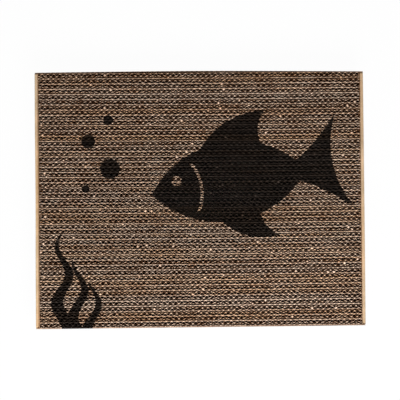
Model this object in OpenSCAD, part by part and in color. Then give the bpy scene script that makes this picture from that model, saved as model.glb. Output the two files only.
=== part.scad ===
// Corrugated cardboard scratching pad: 49 double-wall strips stand on edge side by side, so that
// their open flutes make the scratching face. A board closes each end and a thin sheet each long side.
// The origin is the middle of the underside, +X along the strips, +Y to the back, +Z up.

/* [Strips] */
// Length of every strip, from one end board to the other
strip_l = 423; // [300:1:600]
// Height of the pad, which is the length of every flute channel in a strip
pad_h = 40; // [25:1:60]
// Number of strips glued side by side
strip_count = 49; // [20:1:56]

/* [Double-wall board] */
// Thickness of each flat liner
liner_t = 0.29; // [0.2:0.01:0.5]
// Thickness of the wavy paper where a channel passes closest to a liner
medium_t = 0.3; // [0.2:0.05:0.5]
// Height of the coarse fluted layer between its two liners
coarse_h = 3.5; // [3:0.1:3.8]
// Length of one wave of the coarse layer
coarse_pitch = 7.8; // [7.6:0.1:9]
// Height of the fine fluted layer between its two liners
fine_h = 2.4; // [2:0.1:2.8]
// Length of one wave of the fine layer
fine_pitch = 6.5; // [6:0.1:7]
// Paper left between the last channel and the cut end of a strip
cut_margin = 0.5; // [0.3:0.1:2]

/* [Cover sheets] */
// Thickness of each liner of the thin sheets on the long sides
cover_liner_t = 0.2; // [0.15:0.05:0.3]
// Thickness of the wavy paper in the thin sheets
cover_medium_t = 0.2; // [0.15:0.05:0.3]
// Height of the fluted layer in the back sheet
back_flute_h = 2.4; // [2:0.1:2.8]
// Length of one wave in the back sheet
back_pitch = 6.5; // [6:0.1:7]
// Height of the fluted layer in the front sheet
front_flute_h = 1; // [0.8:0.1:1.2]
// Length of one wave in the front sheet
front_pitch = 3.4; // [3:0.1:4]

/* [Hidden] */
// Which layer of each strip faces the back, read from the photograph from the back strip to the
// front one: C is the coarse layer and F the fine one.
lay_up = "CFCCFFFFCCFFCFFCCCCCFCFCFCFFCFCFFCCFCCFFFFFCCFFCC";

// Shares of a wave by which the waves of each strip are shifted from those of the strip behind it
coarse_shift_share = 0.618;
fine_shift_share = 0.732;

strip_t = 3 * liner_t + coarse_h + fine_h;
stack_w = strip_count * strip_t;
end_board_t = 2 * liner_t + coarse_h;
pad_l = strip_l + 2 * end_board_t;
back_cover_t = 2 * cover_liner_t + back_flute_h;
front_cover_t = 2 * cover_liner_t + front_flute_h;
pad_w = back_cover_t + stack_w + front_cover_t;

// Where the stack of strips begins at the back and ends at the front
stack_back_y = pad_w / 2 - back_cover_t;
stack_front_y = stack_back_y - stack_w;

// A bore needs only a few sides here, since every channel is a true cylinder
channel_sides = 16;

KRAFT_DARK = [0.55, 0.42, 0.31];
KRAFT_MID = [0.62, 0.48, 0.36];
KRAFT_PALE = [0.69, 0.55, 0.42];
KRAFT_LINER = [0.82, 0.69, 0.53];
strip_tints = [KRAFT_MID, KRAFT_DARK, KRAFT_PALE];

function two_digits(n) = n < 10 ? str("0", n) : str(n);
function strip_name(i) = str("strip_", two_digits(i + 1));
function fraction(v) = v - floor(v);
function coarse_at_back(i) = lay_up[i % len(lay_up)] == "C";

// The channels of one fluted layer in section, along +X from 0 to run with the layer's middle on the
// X axis. They lean on either liner in turn, so the paper left between them makes the wave.
module channel_row(run, pitch, layer_h, paper_t, shift_share) {
    channel_d = layer_h - paper_t;
    step = pitch / 2;
    first_x = cut_margin + channel_d / 2 + shift_share * step;
    last_x = run - cut_margin - channel_d / 2;
    for (k = [0 : floor((last_x - first_x) / step)])
        translate([first_x + k * step, (k % 2 == 0 ? 1 : -1) * paper_t / 2])
            circle(d = channel_d, $fn = channel_sides);
}

// A strip of double-wall board, cut across its flutes: liner, one fluted layer, liner, the other
// fluted layer, liner. Its back face lies on the X axis and its ends at x = 0 and strip_l.
module strip_section(i) {
    back_h = coarse_at_back(i) ? coarse_h : fine_h;
    front_h = coarse_at_back(i) ? fine_h : coarse_h;
    back_y = -liner_t - back_h / 2;
    front_y = -2 * liner_t - back_h - front_h / 2;
    difference() {
        translate([0, -strip_t])
            square([strip_l, strip_t]);
        translate([0, coarse_at_back(i) ? back_y : front_y])
            channel_row(strip_l, coarse_pitch, coarse_h, medium_t, fraction(i * coarse_shift_share));
        translate([0, coarse_at_back(i) ? front_y : back_y])
            channel_row(strip_l, fine_pitch, fine_h, medium_t, fraction(i * fine_shift_share));
    }
}

// Strip i in its place, counted from the back of the pad
module strip(i) {
    color(strip_tints[i % len(strip_tints)])
        translate([-strip_l / 2, stack_back_y - i * strip_t, 0])
            linear_extrude(pad_h)
                strip_section(i);
}

// A single-wall board that closes one end of the pad. Its flutes lie flat, along Y. Drawn with its
// inner face at x = 0 and its thickness towards +X.
module end_board() {
    color(KRAFT_LINER)
        translate([0, stack_back_y, 0])
            rotate([90, 0, 0])
                linear_extrude(stack_w)
                    difference() {
                        square([end_board_t, pad_h]);
                        translate([end_board_t / 2, 0])
                            rotate(90)
                                channel_row(pad_h, coarse_pitch, coarse_h, medium_t, 0);
                    }
}

module left_end_board() {
    mirror([1, 0, 0])
        right_end_board();
}

module right_end_board() {
    translate([strip_l / 2, 0, 0])
        end_board();
}

// A thin single-wall sheet along one long side, over the edges of both end boards. Its flutes stand
// upright. Drawn with its inner face at y = 0 and its thickness towards +Y.
module cover_sheet(sheet_t, flute_h, pitch) {
    color(KRAFT_MID)
        translate([-pad_l / 2, 0, 0])
            linear_extrude(pad_h)
                difference() {
                    square([pad_l, sheet_t]);
                    translate([0, sheet_t / 2])
                        channel_row(pad_l, pitch, flute_h, cover_medium_t, 0);
                }
}

module back_cover_sheet() {
    translate([0, stack_back_y, 0])
        cover_sheet(back_cover_t, back_flute_h, back_pitch);
}

module front_cover_sheet() {
    translate([0, stack_front_y, 0])
        mirror([0, 1, 0])
            cover_sheet(front_cover_t, front_flute_h, front_pitch);
}

for (i = [0 : strip_count - 1])
    strip(i);
left_end_board();
right_end_board();
back_cover_sheet();
front_cover_sheet();
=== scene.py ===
"""Looks of a corrugated cardboard scratching pad. Every strip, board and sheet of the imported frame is
replaced by the paper it is made of: real waves between flat liners, with frayed cut edges and a dark
print on the upper ones."""

import math
from dataclasses import dataclass

import bpy
import numpy as np
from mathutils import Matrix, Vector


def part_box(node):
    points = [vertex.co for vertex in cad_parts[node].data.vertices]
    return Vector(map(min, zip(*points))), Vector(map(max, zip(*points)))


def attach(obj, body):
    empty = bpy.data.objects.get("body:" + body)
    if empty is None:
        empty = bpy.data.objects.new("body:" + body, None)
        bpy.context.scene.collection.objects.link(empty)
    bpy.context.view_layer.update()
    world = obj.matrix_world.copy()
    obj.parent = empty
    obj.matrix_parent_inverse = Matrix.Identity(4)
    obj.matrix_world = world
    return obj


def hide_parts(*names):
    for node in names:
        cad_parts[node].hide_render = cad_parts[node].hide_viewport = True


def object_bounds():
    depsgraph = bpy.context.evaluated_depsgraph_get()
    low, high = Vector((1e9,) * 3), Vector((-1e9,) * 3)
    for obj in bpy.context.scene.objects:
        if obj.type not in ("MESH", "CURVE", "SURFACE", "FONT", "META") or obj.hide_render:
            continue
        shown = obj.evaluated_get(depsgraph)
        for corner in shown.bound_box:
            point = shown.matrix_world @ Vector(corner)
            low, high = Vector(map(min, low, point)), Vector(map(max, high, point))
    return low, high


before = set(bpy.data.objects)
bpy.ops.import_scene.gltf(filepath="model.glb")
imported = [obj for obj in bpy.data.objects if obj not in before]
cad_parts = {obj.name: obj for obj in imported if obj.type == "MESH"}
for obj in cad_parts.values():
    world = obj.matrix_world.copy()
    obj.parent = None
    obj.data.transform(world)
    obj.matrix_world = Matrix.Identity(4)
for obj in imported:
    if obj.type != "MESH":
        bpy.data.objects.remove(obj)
cad_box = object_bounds()

# Lengths are in metres
MM = 0.001

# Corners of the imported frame's box
PAD_LOW = np.array(cad_box[0])
PAD_HIGH = np.array(cad_box[1])
PAD_TOP = PAD_HIGH[2]

# Seeds of the random draws: each piece adds its own number
STRIP_SEED = 4217
END_SEED = 4417
COVER_SEED = 4517

# Slots of every paper mesh: inside wall, cut edge, print and outer face
WALL, EDGE, INK, FACE = range(4)


# Board

# Which layer of each strip faces the back, from the back strip to the front one, as in CAD: C is the
# coarse layer and F the fine one
LAY_UP = "CFCCFFFFCCFFCFFCCCCCFCFCFCFFCFCFFCCFCCFFFFFCCFFCC"

# Room that CAD gives to a liner and to the wavy paper, and from a strip's end to its first channel
LINER_T = 0.29 * MM
MEDIUM_T = 0.3 * MM
CUT_MARGIN = 0.5 * MM

# How thick the real papers are: a strip's outer liners and its inner one, the coarse waves and those of
# the boards and sheets, the fine waves, and the liners of the cover sheets
LINER_PAPER = 0.14 * MM
INNER_PAPER = 0.08 * MM
MEDIUM_PAPER = 0.18 * MM
FINE_PAPER = 0.09 * MM
COVER_PAPER = 0.18 * MM


@dataclass(frozen=True)
class Flutes:
    """A fluted layer of the double-wall board."""

    # Height between its liners and length of one wave, as in CAD
    height: float
    pitch: float
    # Share of half a wave by which each strip's waves are shifted from those behind it, as in CAD
    shift_share: float
    # Thickness of its wavy paper, and how many steps draw one wave
    paper: float
    steps: int
    # Spread of how far its crests lean over to a side
    slant: float
    # How much wider the knife left its cut edge at a crest
    crest_widen: float
    # Share of its crests that the knife folded over the channel, and how far at most
    fold_share: float
    fold_reach: float


COARSE = Flutes(
    height=3.5 * MM,
    pitch=7.8 * MM,
    shift_share=0.618,
    paper=MEDIUM_PAPER,
    steps=16,
    slant=0.30 * MM,
    crest_widen=0.5 * MM,
    fold_share=0.14,
    fold_reach=1.3 * MM,
)
FINE = Flutes(
    height=2.4 * MM,
    pitch=6.5 * MM,
    shift_share=0.732,
    paper=FINE_PAPER,
    steps=14,
    slant=0.22 * MM,
    crest_widen=0.5 * MM,
    fold_share=0.10,
    fold_reach=0.9 * MM,
)


# Camera

CAMERA_PLACE = (-31.9 * MM, -17.2 * MM, 1238.6 * MM)
CAMERA_TURN_DEG = (0.755, -1.482, -0.505)
CAMERA_LENS = 82.44
CAMERA_SENSOR = 36


def make_camera():
    data = bpy.data.cameras.new("camera")
    data.lens = CAMERA_LENS
    data.sensor_width = CAMERA_SENSOR
    camera = bpy.data.objects.new("camera", data)
    camera.location = CAMERA_PLACE
    camera.rotation_euler = [math.radians(a) for a in CAMERA_TURN_DEG]
    bpy.context.collection.objects.link(camera)
    bpy.context.scene.camera = camera


# Random but repeatable unevenness


def drift(rng, at, step, size):
    """A smooth random curve read at the places at, with a new value every step and a spread of size."""
    knots = np.arange(at.min() - step, at.max() + 2 * step, step)
    values = rng.normal(0, size, len(knots))
    t = (at - knots[0]) / step
    k = np.floor(t).astype(int)
    s = t - k
    s = s * s * (3 - 2 * s)
    return values[k] * (1 - s) + values[k + 1] * s


def tones(rng, at, pale, warm):
    """Paleness and warmth of a sheet at the places at. Each is given as its mean and its drift's step
    and spread."""
    return np.stack([mean + drift(rng, at, step, spread) for mean, step, spread in (pale, warm)], axis=-1)


# Print: a fish, bubbles and blades of waterweed

BEND_POINTS = 9


def bend_line(start, pull, end):
    """Points of a quadratic curve from start to end, bent towards pull. The end itself is left out."""
    t = np.arange(BEND_POINTS)[:, None] / BEND_POINTS
    a, b, c = (np.array(point, float) for point in (start, pull, end))
    return ((1 - t) ** 2 * a + 2 * t * (1 - t) * b + t**2 * c).tolist()


# Sizes and places in units of PRINT_SCALE. The eye, gill, tail and fins are about the middle of the
# fish's body, whose head points to -X, and the rest about the pad's middle
PRINT_SCALE = 1 * MM
BODY_CENTRE = (38, 22)
BODY_LENGTH = 206
BODY_HEIGHT = 104
BODY_TILT_DEG = 9
EYE_PLACE = (-68, 12)
EYE_R = 6.5
GILL_R = 62
GILL_W = 4
TAIL = (
    bend_line((86, 12), (112, 22), (152, 66))
    + bend_line((152, 66), (122, 4), (156, -58))
    + bend_line((156, -58), (112, -20), (86, -12))
)
TOP_FIN = bend_line((-40, 36), (-6, 90), (62, 86)) + bend_line((62, 86), (36, 64), (56, 24))
BELLY_FIN = bend_line((-26, -38), (2, -84), (54, -80)) + bend_line((54, -80), (28, -62), (34, -30))

# Middle and radius of each bubble, and foot, width and height of each blade
BUBBLES = ((-118, 40, 13), (-146, 76, 9), (-120, 104, 6.5), (-150, 14, 5))
BLADES = ((-180, 20, 128), (-160, 17, 92), (-142, 14, 62))
BLADE_SWAY = 8
BLADE_WAVE = 74
BLADE_TAPER = 0.7

# How far down the papers the ink runs
INK_DEPTH = 2.4 * MM


def in_polygon(x, y, points):
    inside = np.zeros(x.shape, bool)
    for (x0, y0), (x1, y1) in zip(points, points[1:] + points[:1]):
        crosses = (y0 > y) != (y1 > y)
        rise = y1 - y0 if y1 != y0 else 1
        inside ^= crosses & (x < (x1 - x0) * (y - y0) / rise + x0)
    return inside


def in_lens(x, y, length, height):
    """The space shared by two equal circles, length long and height high, about the origin."""
    radius = (length**2 + height**2) / (4 * height)
    drop = radius - height / 2
    return (np.hypot(x, y + drop) < radius) & (np.hypot(x, y - drop) < radius)


def printed(x, y):
    """True where the print covers the pad. x and y are in metres."""
    x, y = x / PRINT_SCALE, y / PRINT_SCALE
    turn = math.radians(BODY_TILT_DEG)
    u = (x - BODY_CENTRE[0]) * math.cos(turn) + (y - BODY_CENTRE[1]) * math.sin(turn)
    v = -(x - BODY_CENTRE[0]) * math.sin(turn) + (y - BODY_CENTRE[1]) * math.cos(turn)
    covered = in_lens(u, v, BODY_LENGTH, BODY_HEIGHT)
    for fin in (TAIL, TOP_FIN, BELLY_FIN):
        covered |= in_polygon(u, v, fin)
    eye = np.hypot(u - EYE_PLACE[0], v - EYE_PLACE[1]) < EYE_R
    # The gill is an arc about a point on the body's axis, half the arc's radius ahead of the eye
    gill_x = u - EYE_PLACE[0] + GILL_R / 2
    gill = (np.abs(np.hypot(gill_x, v) - GILL_R) < GILL_W / 2) & (np.abs(v) < GILL_R / 2) & (gill_x > 0)
    covered &= ~eye & ~gill
    for bubble_x, bubble_y, r in BUBBLES:
        covered |= np.hypot(x - bubble_x, y - bubble_y) < r
    foot = PAD_LOW[1] / PRINT_SCALE
    for foot_x, width, height in BLADES:
        up = (y - foot) / height
        middle = foot_x + BLADE_SWAY * np.sin((y + foot_x) / BLADE_WAVE * 2 * math.pi)
        reach = width / 2 * np.clip(1 - up, 0, 1) ** BLADE_TAPER
        covered |= (np.abs(x - middle) < reach) & (up > 0)
    return covered


# Paper meshes


class Paper:
    """Gathers the closed sheets of one piece and makes one mesh of them."""

    def __init__(self):
        self.verts = []
        self.faces = []
        self.slots = []
        self.smooth = []
        self.tones = []
        self.count = 0

    def add(self, mid, normal, half_t, tone, edge_rows=1, sides=(WALL, WALL)):
        """A sheet about the grid of points mid (rows, n, 3), which runs from its lowest to its top row.

        normal and half_t give its thickness at each point, and tone its paleness and warmth along n.
        Its top edge_rows rows of faces are cut edge. sides holds the slots of the rest of its faces, on
        the side towards normal and on the other one."""
        rows, n = mid.shape[:2]
        both = np.stack([mid + normal * half_t[..., None], mid - normal * half_t[..., None]], axis=1)
        self.verts.append(both.reshape(-1, 3))
        index = np.arange(rows * 2 * n).reshape(rows, 2, n) + self.count
        self.count += rows * 2 * n

        def quads(a, b, c, d, slot, smooth, face_tones):
            face = np.stack([a, b, c, d], axis=-1).reshape(-1, 4)
            self.faces.append(face)
            self.slots.append(np.broadcast_to(slot, a.shape).reshape(-1))
            self.smooth.append(np.full(len(face), smooth))
            self.tones.append(np.broadcast_to(face_tones, a.shape + (2,)).reshape(-1, 2))

        between = (tone[:-1] + tone[1:]) / 2
        near, far = index[:, 0], index[:, 1]
        slots = np.array(sides)[:, None, None].repeat(rows - 1, axis=1)
        slots[:, -edge_rows:] = EDGE
        quads(near[:-1, :-1], near[1:, :-1], near[1:, 1:], near[:-1, 1:], slots[0], True, between)
        quads(far[:-1, :-1], far[:-1, 1:], far[1:, 1:], far[1:, :-1], slots[1], True, between)
        quads(far[-1, :-1], far[-1, 1:], near[-1, 1:], near[-1, :-1], EDGE, False, between)
        quads(near[0, :-1], near[0, 1:], far[0, 1:], far[0, :-1], EDGE, False, between)
        quads(near[:-1, 0], far[:-1, 0], far[1:, 0], near[1:, 0], EDGE, False, tone[0])
        quads(far[:-1, -1], near[:-1, -1], near[1:, -1], far[1:, -1], EDGE, False, tone[-1])

    def build(self, name, materials):
        verts = np.concatenate(self.verts)
        faces = np.concatenate(self.faces)
        slots = np.concatenate(self.slots).astype(np.int32)
        face_tones = np.concatenate(self.tones).astype(np.float32)
        middle = verts[faces].mean(axis=1)
        high_up = middle[:, 2] > PAD_TOP - INK_DEPTH
        slots[printed(middle[:, 0], middle[:, 1]) & high_up & (slots != FACE)] = INK
        mesh = bpy.data.meshes.new(name)
        mesh.vertices.add(len(verts))
        mesh.vertices.foreach_set("co", verts.ravel())
        mesh.loops.add(faces.size)
        mesh.loops.foreach_set("vertex_index", faces.ravel().astype(np.int32))
        mesh.polygons.add(len(faces))
        mesh.polygons.foreach_set("loop_start", np.arange(0, faces.size, 4, dtype=np.int32))
        mesh.polygons.foreach_set("material_index", slots)
        mesh.update(calc_edges=True)
        flat = mesh.attributes.new("sharp_face", "BOOLEAN", "FACE")
        flat.data.foreach_set("value", ~np.concatenate(self.smooth))
        for k, label in enumerate(("tint", "warmth")):
            layer = mesh.attributes.new(label, "FLOAT", "FACE")
            layer.data.foreach_set("value", np.ascontiguousarray(face_tones[:, k]))
        for material in materials:
            mesh.materials.append(material)
        piece = bpy.data.objects.new(name, mesh)
        bpy.context.collection.objects.link(piece)
        return piece


def dress(paper, name, materials):
    """Makes the gathered paper the piece that stands for the node name."""
    piece = paper.build(name + "_paper", materials)
    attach(piece, "root")
    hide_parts(name)


# Sheets that stand on edge

# Rows of a standing sheet above its foot, as depths below the cut: the last is the cut edge itself
ROW_DEPTHS = (2.4 * MM, 0.35 * MM, 0.0)

# Least share of its full size that the fray has at the cut edge, and the most that it has a row lower
LEAST_FRAY_SHARE = 0.35
LOW_FRAY_SHARE = 0.25

# Steps of the sideways bend at the cut edge and a row lower, and the share of the lean there
BEND_STEP = 3 * MM
LOW_BEND_STEP = 5 * MM
LOW_LEAN_SHARE = 0.35

# Step of the longer dips of a torn edge
DIP_STEP = 6 * MM


def standing_sheet(
    paper, rng, x, y, thick, tone, top, fray, bend=0.0, lean=0.0, widen=0.0, sides=(WALL, WALL)
):
    """A sheet that stands on edge along the line x, y in plan, up to the heights top. Its cut edge is
    frayed wider by up to fray times its thickness and by widen, and bent sideways by about bend and by
    lean."""
    slope = np.gradient(y, x)
    length = np.hypot(1, slope)
    nx, ny = -slope / length, 1 / length
    n = len(x)
    heights = np.vstack([np.full((1, n), PAD_LOW[2]), top - np.array(ROW_DEPTHS)[:, None]])
    half = np.full((len(heights), n), thick / 2)
    half[-2] *= 1 + LOW_FRAY_SHARE * fray * rng.random(n)
    half[-1] *= 1 + fray * (LEAST_FRAY_SHARE + (1 - LEAST_FRAY_SHARE) * rng.random(n))
    half[-1] += widen / 2
    over = np.zeros((len(heights), n))
    over[-1] = drift(rng, x, BEND_STEP, bend) + lean
    over[-2] = drift(rng, x, LOW_BEND_STEP, bend / 2) + LOW_LEAN_SHARE * lean
    mid = np.stack([x + nx * over, y + ny * over, heights], axis=-1)
    normal = np.stack(np.broadcast_arrays(nx, ny, np.zeros(n)), axis=-1)[None].repeat(len(heights), axis=0)
    paper.add(mid, normal, half, tone, sides=sides)


def torn(rng, x, sink, tear):
    """Heights of a cut edge at x, sink below the pad's top, with tears and dips of up to about tear."""
    return PAD_TOP - sink - tear * rng.random(len(x)) ** 2 - np.abs(drift(rng, x, DIP_STEP, tear / 2))


# Strips

LINER_STEPS = 420

# Usual gaps between the strips and the end boards, and the least and the largest share of them
LEFT_GAP = 1.1 * MM
RIGHT_GAP = 0.7 * MM
GAP_SHARES = (0.7, 1.2)

# How far a strip may sink, how deep its edges are torn and how far they bend
STRIP_SINK = 0.35 * MM
EDGE_TEAR = 0.3 * MM
EDGE_BEND = 0.08 * MM

# Shares of their thickness by which the outer liners, the inner one and the waves fray
LINER_FRAY = 0.5
INNER_FRAY = 0.2
WAVE_FRAY = 0.3

# Mean and spread of the strips' paleness and warmth, and step and spread of their drift along a strip
STRIP_PALE = (0.5, 0.075)
STRIP_WARM = (0.3, 0.33)
PALE_DRIFT = (9 * MM, 0.1)
WARM_DRIFT = (40 * MM, 0.28)

# What is added to the paleness of the outer liners, as a range that each strip draws from, of the inner
# one, of the flanks, of the crests, and for each millimetre of fold
OUTER_LIFTS = (-0.05, 0.55)
INNER_LIFT = -0.3
FLANK_LIFT = -0.15
CREST_LIFT = 0.7
FOLD_LIFT = 0.4

# How the strips wander in Y: how far a turn moves their ends, how far the middle of the stack bulges to
# the front, the power that brings the bulge nearer to the back, and the share of it that the ends lack
STRAY_TURN = 0.35 * MM
STRAY_BULGE = 0.95 * MM
STRAY_POWER = 0.7
STRAY_END_SHARE = 0.8

# Unevenness of the waves: spread of their phase and of their height, and the steps of these drifts and
# of the slant's, in waves
PHASE_SPREAD = 0.35
PHASE_WAVES = 3
HEIGHT_SPREAD = 0.05
HEIGHT_WAVES = 2
LEAST_HEIGHT_SHARE = 0.6
SLANT_WAVES = 5

# How much steeper the flanks are than those of a sine, and what keeps the places along a wave apart
FLANK_STEEPNESS = 0.15
LEAST_STEP = 1e-9

# Crests: the power that narrows them, the least share of its reach that a fold has, and how much wider
# the edge is for its fold
CREST_POWER = 5
LEAST_FOLD_SHARE = 0.4
FOLD_WIDEN_SHARE = 0.2

# Tongues torn out at a few crests: how many, how far they reach over the channel and how lopsided
TONGUE_SHARE = 0.012
TONGUE_REACH_SHARE = 0.65
TONGUE_SKEW = 0.8


def stray(x, share):
    """How far the stacked strips wander in Y, from the back one at share 0 to the front one at 1."""
    u = x / PAD_HIGH[0]
    bulge = np.sin(math.pi * share**STRAY_POWER) * (1 - STRAY_END_SHARE * u**2)
    return STRAY_TURN * u - STRAY_BULGE * bulge


def wave_line(rng, x, first_x, flutes):
    """A wave in step with the CAD channels, with uneven lengths and slanted flanks: its places, its rise
    from -1 to 1, and its phase, which is 0 where the first channel is."""
    phase = 2 * math.pi * (x - first_x) / flutes.pitch
    phase += drift(rng, x, PHASE_WAVES * flutes.pitch, PHASE_SPREAD)
    size = 1 - np.abs(drift(rng, x, HEIGHT_WAVES * flutes.pitch, HEIGHT_SPREAD))
    size = np.clip(size, LEAST_HEIGHT_SHARE, 1)
    rise = -np.cos(phase)
    rise = size * np.clip(rise * (1 + FLANK_STEEPNESS * (1 - rise**2)), -1, 1)
    moved = np.clip(x + drift(rng, x, SLANT_WAVES * flutes.pitch, flutes.slant) * rise, x[0], x[-1])
    moved = np.maximum.accumulate(moved + np.arange(len(x)) * LEAST_STEP)
    return moved, rise, phase


def cut_crests(rng, phase, rise, flutes):
    """How the knife left a wave's cut edge: its sideways lean over the channel, how far it is folded,
    how near each point is to a crest, and how much wider the edge is."""
    crest = np.round(phase / math.pi).astype(int)
    off_crest = phase - crest * math.pi
    crest -= crest.min()
    count = crest.max() + 1
    is_folded = rng.random(count) < flutes.fold_share
    reach_share = LEAST_FOLD_SHARE + (1 - LEAST_FOLD_SHARE) * rng.random(count)
    folded = (is_folded * flutes.fold_reach * reach_share)[crest]
    torn_out = (rng.random(count) < TONGUE_SHARE)[crest]
    lopsided = rng.uniform(-TONGUE_SKEW, TONGUE_SKEW, count)[crest]
    level = np.cos(off_crest)
    near = level**CREST_POWER
    tongue = TONGUE_REACH_SHARE * flutes.height * level * (1 + lopsided * np.sin(off_crest))
    fold = np.where(torn_out, tongue / 2, folded * near)
    widen = np.where(torn_out, tongue, flutes.crest_widen * near + FOLD_WIDEN_SHARE * fold)
    return -np.sign(rise) * fold, fold, near, widen


def make_strip(index, name, materials):
    """A strip of double-wall board from its back to its front: liner, wave, inner liner, wave, liner."""
    rng = np.random.default_rng(STRIP_SEED + index)
    low, high = (np.array(c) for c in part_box(name))
    share = (index + 0.5) / len(LAY_UP)
    paper = Paper()
    pale = rng.normal(*STRIP_PALE)
    warm = rng.normal(*STRIP_WARM)
    sink = STRIP_SINK * rng.random() ** 2
    outer = (LINER_PAPER, rng.uniform(*OUTER_LIFTS), LINER_FRAY)
    inner = (INNER_PAPER, INNER_LIFT, INNER_FRAY)
    start = low[0] + LEFT_GAP * rng.uniform(*GAP_SHARES)
    end = high[0] - RIGHT_GAP * rng.uniform(*GAP_SHARES)

    def add_sheet(x, y, thick, lift, **edge):
        y = y + stray(x, share)
        tone = tones(rng, x, (pale + lift, *PALE_DRIFT), (warm, *WARM_DRIFT))
        standing_sheet(paper, rng, x, y, thick, tone, torn(rng, x, sink, EDGE_TEAR), bend=EDGE_BEND, **edge)

    def add_liner(back, thick, lift, fray):
        """A liner whose back is at Y = back. Returns where the next layer's back is."""
        x = np.linspace(start, end, LINER_STEPS + 1)
        add_sheet(x, np.full(len(x), back - LINER_T / 2), thick, lift, fray=fray)
        return back - LINER_T

    def add_wave(back, flutes):
        """A wave whose room begins at Y = back. Returns where the next layer's back is."""
        channel_r = (flutes.height - MEDIUM_T) / 2
        shift = (index * flutes.shift_share) % 1 * flutes.pitch / 2
        first_x = low[0] + CUT_MARGIN + channel_r + shift
        x = np.linspace(start, end, int((end - start) / flutes.pitch * flutes.steps) + 1)
        x, rise, phase = wave_line(rng, x, first_x, flutes)
        lean, fold, near, widen = cut_crests(rng, phase, rise, flutes)
        y = back - flutes.height / 2 + rise * (flutes.height - flutes.paper) / 2
        lift = FLANK_LIFT + CREST_LIFT * near + FOLD_LIFT * fold / MM
        add_sheet(x, y, flutes.paper, lift, fray=WAVE_FRAY, lean=lean, widen=widen)
        return back - flutes.height

    back = add_liner(high[1], *outer)
    first, second = (COARSE, FINE) if LAY_UP[index] == "C" else (FINE, COARSE)
    back = add_liner(add_wave(back, first), *inner)
    add_liner(add_wave(back, second), *outer)
    dress(paper, name, materials)


# End boards

END_STEPS = 140
END_WAVE_STEPS = 12

# Half of how deep an outer liner dents between its waves
WASHBOARD = 0.04 * MM

# How far the left board's inner liner stands off towards the strips
LEFT_STAND_OFF = 0.3 * MM

# How far the outer faces are pressed in: in the middle and at the back corner of the left board, and
# near both ends of the right one
LEFT_PRESS = 0.65 * MM
LEFT_PRESS_Y = 6 * MM
LEFT_PRESS_RUN = 55 * MM
CORNER_PRESS = 0.25 * MM
CORNER_PRESS_RUN = 150 * MM
RIGHT_PRESS = 0.3 * MM
RIGHT_PRESS_RUN = 135 * MM

# How unevenly the waves run along Y: step and spread of their phase's drift, which is nothing at the cut
# edge and grows over the top third
END_PHASE_DRIFT = (25 * MM, 0.15)
END_PHASE_TOP_SHARE = 1 / 3

# Paleness and warmth, each as its mean and its drift's step and spread
END_PALE = (0.6, 18 * MM, 0.12)
END_WARM = (0.25, 45 * MM, 0.2)

# How deep the edges are torn, how much lower the inner liner ends, and how far down the wave's pale top
# reaches, in rows
END_TEAR = 0.12 * MM
END_INNER_SINK = 0.1 * MM
END_WAVE_EDGE_ROWS = 5


def end_hollow(y, side):
    """How far an end board's outer face is pressed in at y, which makes the pad's outline uneven."""
    if side < 0:
        middle = LEFT_PRESS * np.exp(-(((y - LEFT_PRESS_Y) / LEFT_PRESS_RUN) ** 2))
        return middle + CORNER_PRESS * np.clip(y / CORNER_PRESS_RUN, 0, 1) ** 2
    steep = (np.abs(y) / RIGHT_PRESS_RUN) ** 4
    return RIGHT_PRESS * steep / (1 + steep)


def make_end_board(name, side, materials):
    """A single-wall board on edge whose flutes lie along Y. side is +1 at the right end. The wave starts
    at the top of the outer liner, so from above it is a pale slope down to the inner one."""
    rng = np.random.default_rng(END_SEED + side)
    low, high = (np.array(c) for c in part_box(name))
    outer, inner = (high[0], low[0]) if side > 0 else (low[0], high[0])
    y = np.linspace(low[1], high[1], END_STEPS + 1)
    hollow = side * end_hollow(y, side)[None]
    height = high[2] - low[2]
    rows = int(height / COARSE.pitch * END_WAVE_STEPS) + 1
    down = np.linspace(height, 0, rows)[:, None]
    wander = drift(rng, y, *END_PHASE_DRIFT)[None] * np.clip(down / height / END_PHASE_TOP_SHARE, 0, 1)
    phase = 2 * math.pi * down / COARSE.pitch + wander
    stand_off = LEFT_STAND_OFF if side < 0 else 0
    reach = (COARSE.height + LINER_T + stand_off - MEDIUM_PAPER) / 2
    tone = tones(rng, y, END_PALE, END_WARM)
    paper = Paper()

    def lying_sheet(xs, half_t, drop, **kinds):
        """A sheet at the places xs (rows, n) in X, whose top edge lies drop below the board's top."""
        heights = high[2] - drop - down * (1 - drop / height)
        xs, ys, heights = np.broadcast_arrays(xs, y[None], heights)
        mid = np.stack([xs, ys, heights], axis=-1)
        dx, dz = np.gradient(xs, axis=0), np.gradient(heights, axis=0)
        size = np.hypot(dx, dz)
        normal = np.stack([-dz / size, np.zeros_like(dx), dx / size], axis=-1)
        # Both ends are cut square, so that the sheet keeps to the board's height
        normal[[0, -1]] = (-1, 0, 0)
        paper.add(mid, normal, np.full(xs.shape, half_t), tone, **kinds)

    ripple = WASHBOARD * (1 - np.cos(phase))
    ragged = END_TEAR * rng.random(len(y))[None]
    outer_x = outer - hollow - side * (LINER_T / 2 + ripple)
    inner_x = inner + side * (LINER_T / 2 - stand_off) + np.zeros_like(down)
    middle_x = (outer_x + inner_x) / 2
    faces = (WALL, FACE) if side > 0 else (FACE, WALL)
    lying_sheet(outer_x, LINER_T / 2, ragged, sides=faces)
    lying_sheet(inner_x, LINER_T / 2, ragged + END_INNER_SINK)
    wave_x = middle_x + side * reach * np.cos(phase)
    lying_sheet(wave_x, MEDIUM_PAPER / 2, ragged, edge_rows=END_WAVE_EDGE_ROWS)
    dress(paper, name, materials)


# Cover sheets

COVER_STEPS_PER_WAVE = 10

# Steps by which a wave stays short of the ends of its liners
COVER_TRIM_STEPS = 2

# Share of its thickness by which a cut edge frays, and how deep it is torn
COVER_FRAY = 0.3
COVER_TEAR = 0.25 * MM

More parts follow.
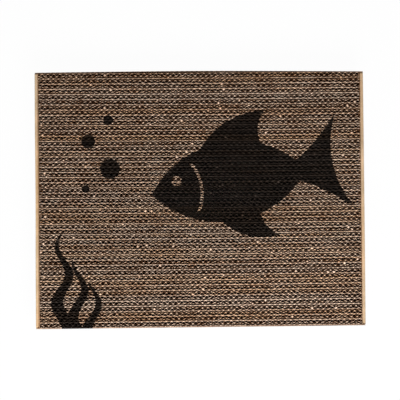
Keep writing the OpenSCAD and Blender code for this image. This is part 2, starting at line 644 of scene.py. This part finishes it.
# Paleness and warmth, each as its mean and its drift's step and spread, and the drift of the waves' phase
COVER_PALE = (0.45, 12 * MM, 0.12)
COVER_WARM = (0.4, 40 * MM, 0.2)
COVER_PHASE_DRIFT = (9 * MM, 0.3)

# Length of one wave of the back and the front sheet, as in CAD, and how low each sits
BACK_PITCH = 6.5 * MM
FRONT_PITCH = 3.4 * MM
BACK_SINK = 1.5 * MM
FRONT_SINK = 0.1 * MM

# The back sheet is bowed: it stands furthest out at BACK_BOW_X and falls back by BACK_BOW at a distance
# of BACK_BOW_RUN from there
BACK_BOW = 1.35 * MM
BACK_BOW_X = -5 * MM
BACK_BOW_RUN = 200 * MM
BACK_BOW_POWER = 1.5


def make_cover(name, side, pitch, materials):
    """A thin single-wall sheet on a long side, with upright flutes. side is +1 at the back."""
    rng = np.random.default_rng(COVER_SEED + side)
    low, high = (np.array(c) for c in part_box(name))
    outer, inner = (high[1], low[1]) if side > 0 else (low[1], high[1])
    sink = BACK_SINK if side > 0 else FRONT_SINK
    faces = (FACE, WALL) if side > 0 else (WALL, FACE)
    paper = Paper()

    def outer_line(x):
        bow = BACK_BOW * (np.abs(x - BACK_BOW_X) / BACK_BOW_RUN) ** BACK_BOW_POWER if side > 0 else 0
        ripple = WASHBOARD * (1 + np.cos(2 * math.pi * x / pitch))
        return outer - side * (bow + ripple + COVER_PAPER / 2)

    def inner_line(x):
        return inner + side * COVER_PAPER / 2 + stray(x, 0 if side > 0 else 1)

    def add_sheet(x, y, thick, **kinds):
        tone = tones(rng, x, COVER_PALE, COVER_WARM)
        standing_sheet(paper, rng, x, y, thick, tone, torn(rng, x, sink, COVER_TEAR), COVER_FRAY, **kinds)

    x = np.linspace(low[0], high[0], int((high[0] - low[0]) / pitch * COVER_STEPS_PER_WAVE) + 1)
    add_sheet(x, outer_line(x), COVER_PAPER, sides=faces)
    add_sheet(x, inner_line(x), COVER_PAPER)
    x = x[COVER_TRIM_STEPS:-COVER_TRIM_STEPS]
    face, back = outer_line(x), inner_line(x)
    wave = np.cos(2 * math.pi * x / pitch + drift(rng, x, *COVER_PHASE_DRIFT))
    reach = side * (face - back) / 2 - (COVER_PAPER + MEDIUM_PAPER) / 2
    add_sheet(x, (face + back) / 2 + reach * wave, MEDIUM_PAPER)
    dress(paper, name, materials)


# Materials

# Dark and pale end of each paper's colours, and the painted shade that the channel walls fade to below the
# cut, as sRGB of 0 to 255
# The channel walls' colours are partly the medium's own darker brown and partly painted shade, darkened so
# that the channels look dark
WALL_AND_SHADE_COLOURS = ((52, 25, 9), (104, 62, 30))
PAINTED_SHADE_COLOUR = (30, 15, 6)
EDGE_COLOURS = ((136, 92, 60), (248, 220, 196))
INK_COLOURS = ((30, 25, 22), (72, 62, 55))
LINER_COLOURS = ((172, 149, 119), (217, 194, 162))
INSIDE_COLOURS = ((140, 78, 30), (220, 144, 70))
FACE_COLOURS = ((142, 104, 70), (176, 136, 96))
# A darker, greyer copy of the cut edge's colours for the back sheet's sunk edge: painted shade on top of the
# real shade that its sink gives
BACK_EDGE_SHADE_COLOURS = ((124, 92, 70), (208, 174, 146))

# Colour that paper of full warmth is multiplied by, and how far below the cut the channel walls reach their
# painted shade
WARM_FILTER = (1, 0.84, 0.66, 1)
SHADE_DEPTH = 7 * MM

# Size of a speck, how many specks a cloudy patch spans, and scales that draw the fibres long
GRAIN = 0.8 * MM
CLOUD_GRAINS = 14
FIBRE_STRETCH = (0.25, 0.25, 2.5)

# How much specks, clouds and fibres move the colour between its ends
SPECK_WEIGHT = 1.5
CLOUD_WEIGHT = 0.9
FIBRE_WEIGHT = 0.6

PAPER_SPECULAR = 0.15
ROUGHNESS_SPREAD = 0.12
BUMP_STRENGTH = 0.3
BUMP_HEIGHT = 0.15 * MM


def srgb(r, g, b):
    """An sRGB colour of 0 to 255 as linear RGBA."""

    def linear(v):
        v /= 255
        return v / 12.92 if v <= 0.04045 else ((v + 0.055) / 1.055) ** 2.4

    return (linear(r), linear(g), linear(b), 1)


def empty_tree(owner):
    """The node tree of a material or world, emptied, and the calls that add nodes and links to it."""
    owner.use_nodes = True
    tree = owner.node_tree
    tree.nodes.clear()
    return tree, tree.nodes.new, tree.links.new


def math_node(tree, kind, a, b=0.0):
    node = tree.nodes.new("ShaderNodeMath")
    node.operation = kind
    for socket, value in zip(node.inputs, (a, b)):
        if isinstance(value, (int, float)):
            socket.default_value = value
        else:
            tree.links.new(value, socket)
    return node.outputs[0]


def mix_colour(tree, kind, factor, a, b):
    node = tree.nodes.new("ShaderNodeMix")
    node.data_type = "RGBA"
    node.blend_type = kind
    node.clamp_factor = True
    colours = [s for s in node.inputs if s.type == "RGBA"]
    for socket, value in zip([node.inputs["Factor"]] + colours, (factor, a, b)):
        if isinstance(value, (tuple, float)):
            socket.default_value = value
        else:
            tree.links.new(value, socket)
    return [s for s in node.outputs if s.type == "RGBA"][0]


def paper_material(name, colours, roughness, tint_share, painted_shade_colour=None):
    """Paper whose colour runs between its dark and its pale end by the sheet's own tint, fibre streaks
    and specks. With painted_shade_colour, it fades into that painted shade from the cut down to
    SHADE_DEPTH below it, and keeps that colour lower down."""
    material = bpy.data.materials.new(name)
    tree, new, link = empty_tree(material)
    out = new("ShaderNodeOutputMaterial")
    shader = new("ShaderNodeBsdfPrincipled")
    link(shader.outputs[0], out.inputs[0])
    shader.inputs["Specular IOR Level"].default_value = PAPER_SPECULAR
    place = new("ShaderNodeTexCoord")

    def noise(scale, detail, stretch=(1, 1, 1)):
        mapping = new("ShaderNodeMapping")
        mapping.inputs["Scale"].default_value = stretch
        link(place.outputs["Object"], mapping.inputs[0])
        texture = new("ShaderNodeTexNoise")
        texture.inputs["Scale"].default_value = scale
        texture.inputs["Detail"].default_value = detail
        link(mapping.outputs[0], texture.inputs["Vector"])
        return texture.outputs["Fac"]

    def attribute(label):
        node = new("ShaderNodeAttribute")
        node.attribute_name = label
        return node.outputs["Fac"]

    specks = noise(1 / GRAIN, detail=3)
    clouds = noise(1 / (GRAIN * CLOUD_GRAINS), detail=2)
    fibres = noise(1 / GRAIN, detail=2, stretch=FIBRE_STRETCH)
    share = math_node(tree, "MULTIPLY", attribute("tint"), tint_share)
    for part, weight in ((specks, SPECK_WEIGHT), (clouds, CLOUD_WEIGHT), (fibres, FIBRE_WEIGHT)):
        part = math_node(tree, "MULTIPLY", math_node(tree, "SUBTRACT", part, 0.5), weight)
        share = math_node(tree, "ADD", share, part)
    share = math_node(tree, "ADD", share, (1 - tint_share) / 2)
    dark, pale = (srgb(*colour) for colour in colours)
    colour = mix_colour(tree, "MIX", share, dark, pale)
    colour = mix_colour(tree, "MULTIPLY", attribute("warmth"), colour, WARM_FILTER)
    # Painted shade: the colour darkens from the cut down to SHADE_DEPTH below it, standing in for the shade
    # far down in the channels
    if painted_shade_colour:
        split = new("ShaderNodeSeparateXYZ")
        link(place.outputs["Object"], split.inputs[0])
        rise = math_node(tree, "SUBTRACT", split.outputs["Z"], float(PAD_TOP) - SHADE_DEPTH)
        colour = mix_colour(tree, "MIX", math_node(tree, "DIVIDE", rise, SHADE_DEPTH), srgb(*painted_shade_colour), colour)
    link(colour, shader.inputs["Base Color"])
    uneven = math_node(tree, "MULTIPLY", clouds, ROUGHNESS_SPREAD)
    link(math_node(tree, "ADD", uneven, roughness - ROUGHNESS_SPREAD / 2), shader.inputs["Roughness"])
    bumper = new("ShaderNodeBump")
    bumper.inputs["Strength"].default_value = BUMP_STRENGTH
    bumper.inputs["Distance"].default_value = BUMP_HEIGHT
    link(specks, bumper.inputs["Height"])
    link(bumper.outputs[0], shader.inputs["Normal"])
    return material


def make_materials():
    """Materials of the strips, the end boards and the back and front covers, in the order of the slots."""
    # Channel walls: partly the medium's own brown, partly painted shade, and fading further into painted
    # shade below the cut
    wall = paper_material("kraft_wall", WALL_AND_SHADE_COLOURS, roughness=0.9, tint_share=1.0, painted_shade_colour=PAINTED_SHADE_COLOUR)
    edge = paper_material("cut_edge", EDGE_COLOURS, roughness=0.95, tint_share=1.0)
    ink = paper_material("ink", INK_COLOURS, roughness=0.85, tint_share=0.6)
    liner = paper_material("kraft_liner", LINER_COLOURS, roughness=0.88, tint_share=0.8)
    inside = paper_material("board_inside", INSIDE_COLOURS, roughness=0.95, tint_share=1.0)
    face = paper_material("kraft_face", FACE_COLOURS, roughness=0.8, tint_share=0.8)
    # The back sheet's cut edge: the cut-edge paper darkened as painted shade
    low_edge = paper_material("low_edge", BACK_EDGE_SHADE_COLOURS, roughness=0.95, tint_share=1.0)
    return [wall, edge, ink], [inside, liner, ink, face], [wall, low_edge, ink, face], [wall, edge, ink, face]


# Floor and light

WHITE = (1, 1, 1, 1)
FLOOR_SIDE = 6
FLOOR_WHITE_SHARE = 0.97
FLOOR_GREY = (0.8, 0.8, 0.8, 1)

# How far under the pad's sides the floor is still white
WHITE_MARGIN = 3 * MM

WORLD_STRENGTH = 0.33
KEY_PLACE = (0.12, -0.75, 0.85)
KEY_SIDE = 0.6
KEY_WATTS = 17.3


def make_floor():
    """A white floor with a faint shadow. Under the pad it is plain diffuse, so the channels stay dark."""
    half = FLOOR_SIDE / 2
    corners = [(-half, -half, 0), (half, -half, 0), (half, half, 0), (-half, half, 0)]
    mesh = bpy.data.meshes.new("floor")
    mesh.from_pydata(corners, [], [(0, 1, 2, 3)])
    floor = bpy.data.objects.new("floor", mesh)
    floor.location.z = PAD_LOW[2]
    bpy.context.collection.objects.link(floor)
    material = bpy.data.materials.new("floor")
    tree, new, link = empty_tree(material)
    out = new("ShaderNodeOutputMaterial")
    diffuse = new("ShaderNodeBsdfDiffuse")
    diffuse.inputs["Color"].default_value = FLOOR_GREY
    glow = new("ShaderNodeEmission")
    mix = new("ShaderNodeMixShader")
    path = new("ShaderNodeLightPath")
    place = new("ShaderNodeNewGeometry")
    split = new("ShaderNodeSeparateXYZ")
    link(place.outputs["Position"], split.inputs[0])

    def beyond(axis, reach):
        distance = math_node(tree, "ABSOLUTE", split.outputs[axis])
        return math_node(tree, "GREATER_THAN", distance, float(reach) - WHITE_MARGIN)

    outside = math_node(tree, "MAXIMUM", beyond("X", PAD_HIGH[0]), beyond("Y", PAD_HIGH[1]))
    seen = math_node(tree, "MAXIMUM", path.outputs["Is Camera Ray"], path.outputs["Is Glossy Ray"])
    seen = math_node(tree, "MAXIMUM", seen, path.outputs["Is Transmission Ray"])
    factor = math_node(tree, "MULTIPLY", math_node(tree, "MULTIPLY", seen, outside), FLOOR_WHITE_SHARE)
    link(factor, mix.inputs["Fac"])
    link(diffuse.outputs[0], mix.inputs[1])
    link(glow.outputs[0], mix.inputs[2])
    link(mix.outputs[0], out.inputs[0])
    mesh.materials.append(material)


def make_world():
    """A plain soft light from all sides, seen as white by the camera."""
    world = bpy.data.worlds.new("world")
    bpy.context.scene.world = world
    _, new, link = empty_tree(world)
    out = new("ShaderNodeOutputWorld")
    mix = new("ShaderNodeMixShader")
    path = new("ShaderNodeLightPath")
    light = new("ShaderNodeBackground")
    light.inputs["Strength"].default_value = WORLD_STRENGTH
    white = new("ShaderNodeBackground")
    for background in (light, white):
        background.inputs["Color"].default_value = WHITE
    link(path.outputs["Is Camera Ray"], mix.inputs["Fac"])
    link(light.outputs[0], mix.inputs[1])
    link(white.outputs[0], mix.inputs[2])
    link(mix.outputs[0], out.inputs[0])


def make_key():
    """A soft lamp in front of the pad, aimed at its middle."""
    data = bpy.data.lights.new("key", "AREA")
    data.size = KEY_SIDE
    data.energy = KEY_WATTS
    key = bpy.data.objects.new("key", data)
    key.location = KEY_PLACE
    x, y, z = KEY_PLACE
    tilt = math.atan2(math.hypot(x, y), z)
    turn = math.atan2(-y, -x) - math.pi / 2
    key.rotation_euler = (tilt, 0, turn)
    bpy.context.collection.objects.link(key)


bpy.context.scene.view_settings.view_transform = "Standard"
make_camera()
strip_materials, end_materials, back_materials, front_materials = make_materials()
for i in range(len(LAY_UP)):
    make_strip(i, f"strip_{i + 1:02d}", strip_materials)
make_end_board("left_end_board", -1, end_materials)
make_end_board("right_end_board", 1, end_materials)
make_cover("back_cover_sheet", 1, BACK_PITCH, back_materials)
make_cover("front_cover_sheet", -1, FRONT_PITCH, front_materials)
make_floor()
make_world()
make_key()
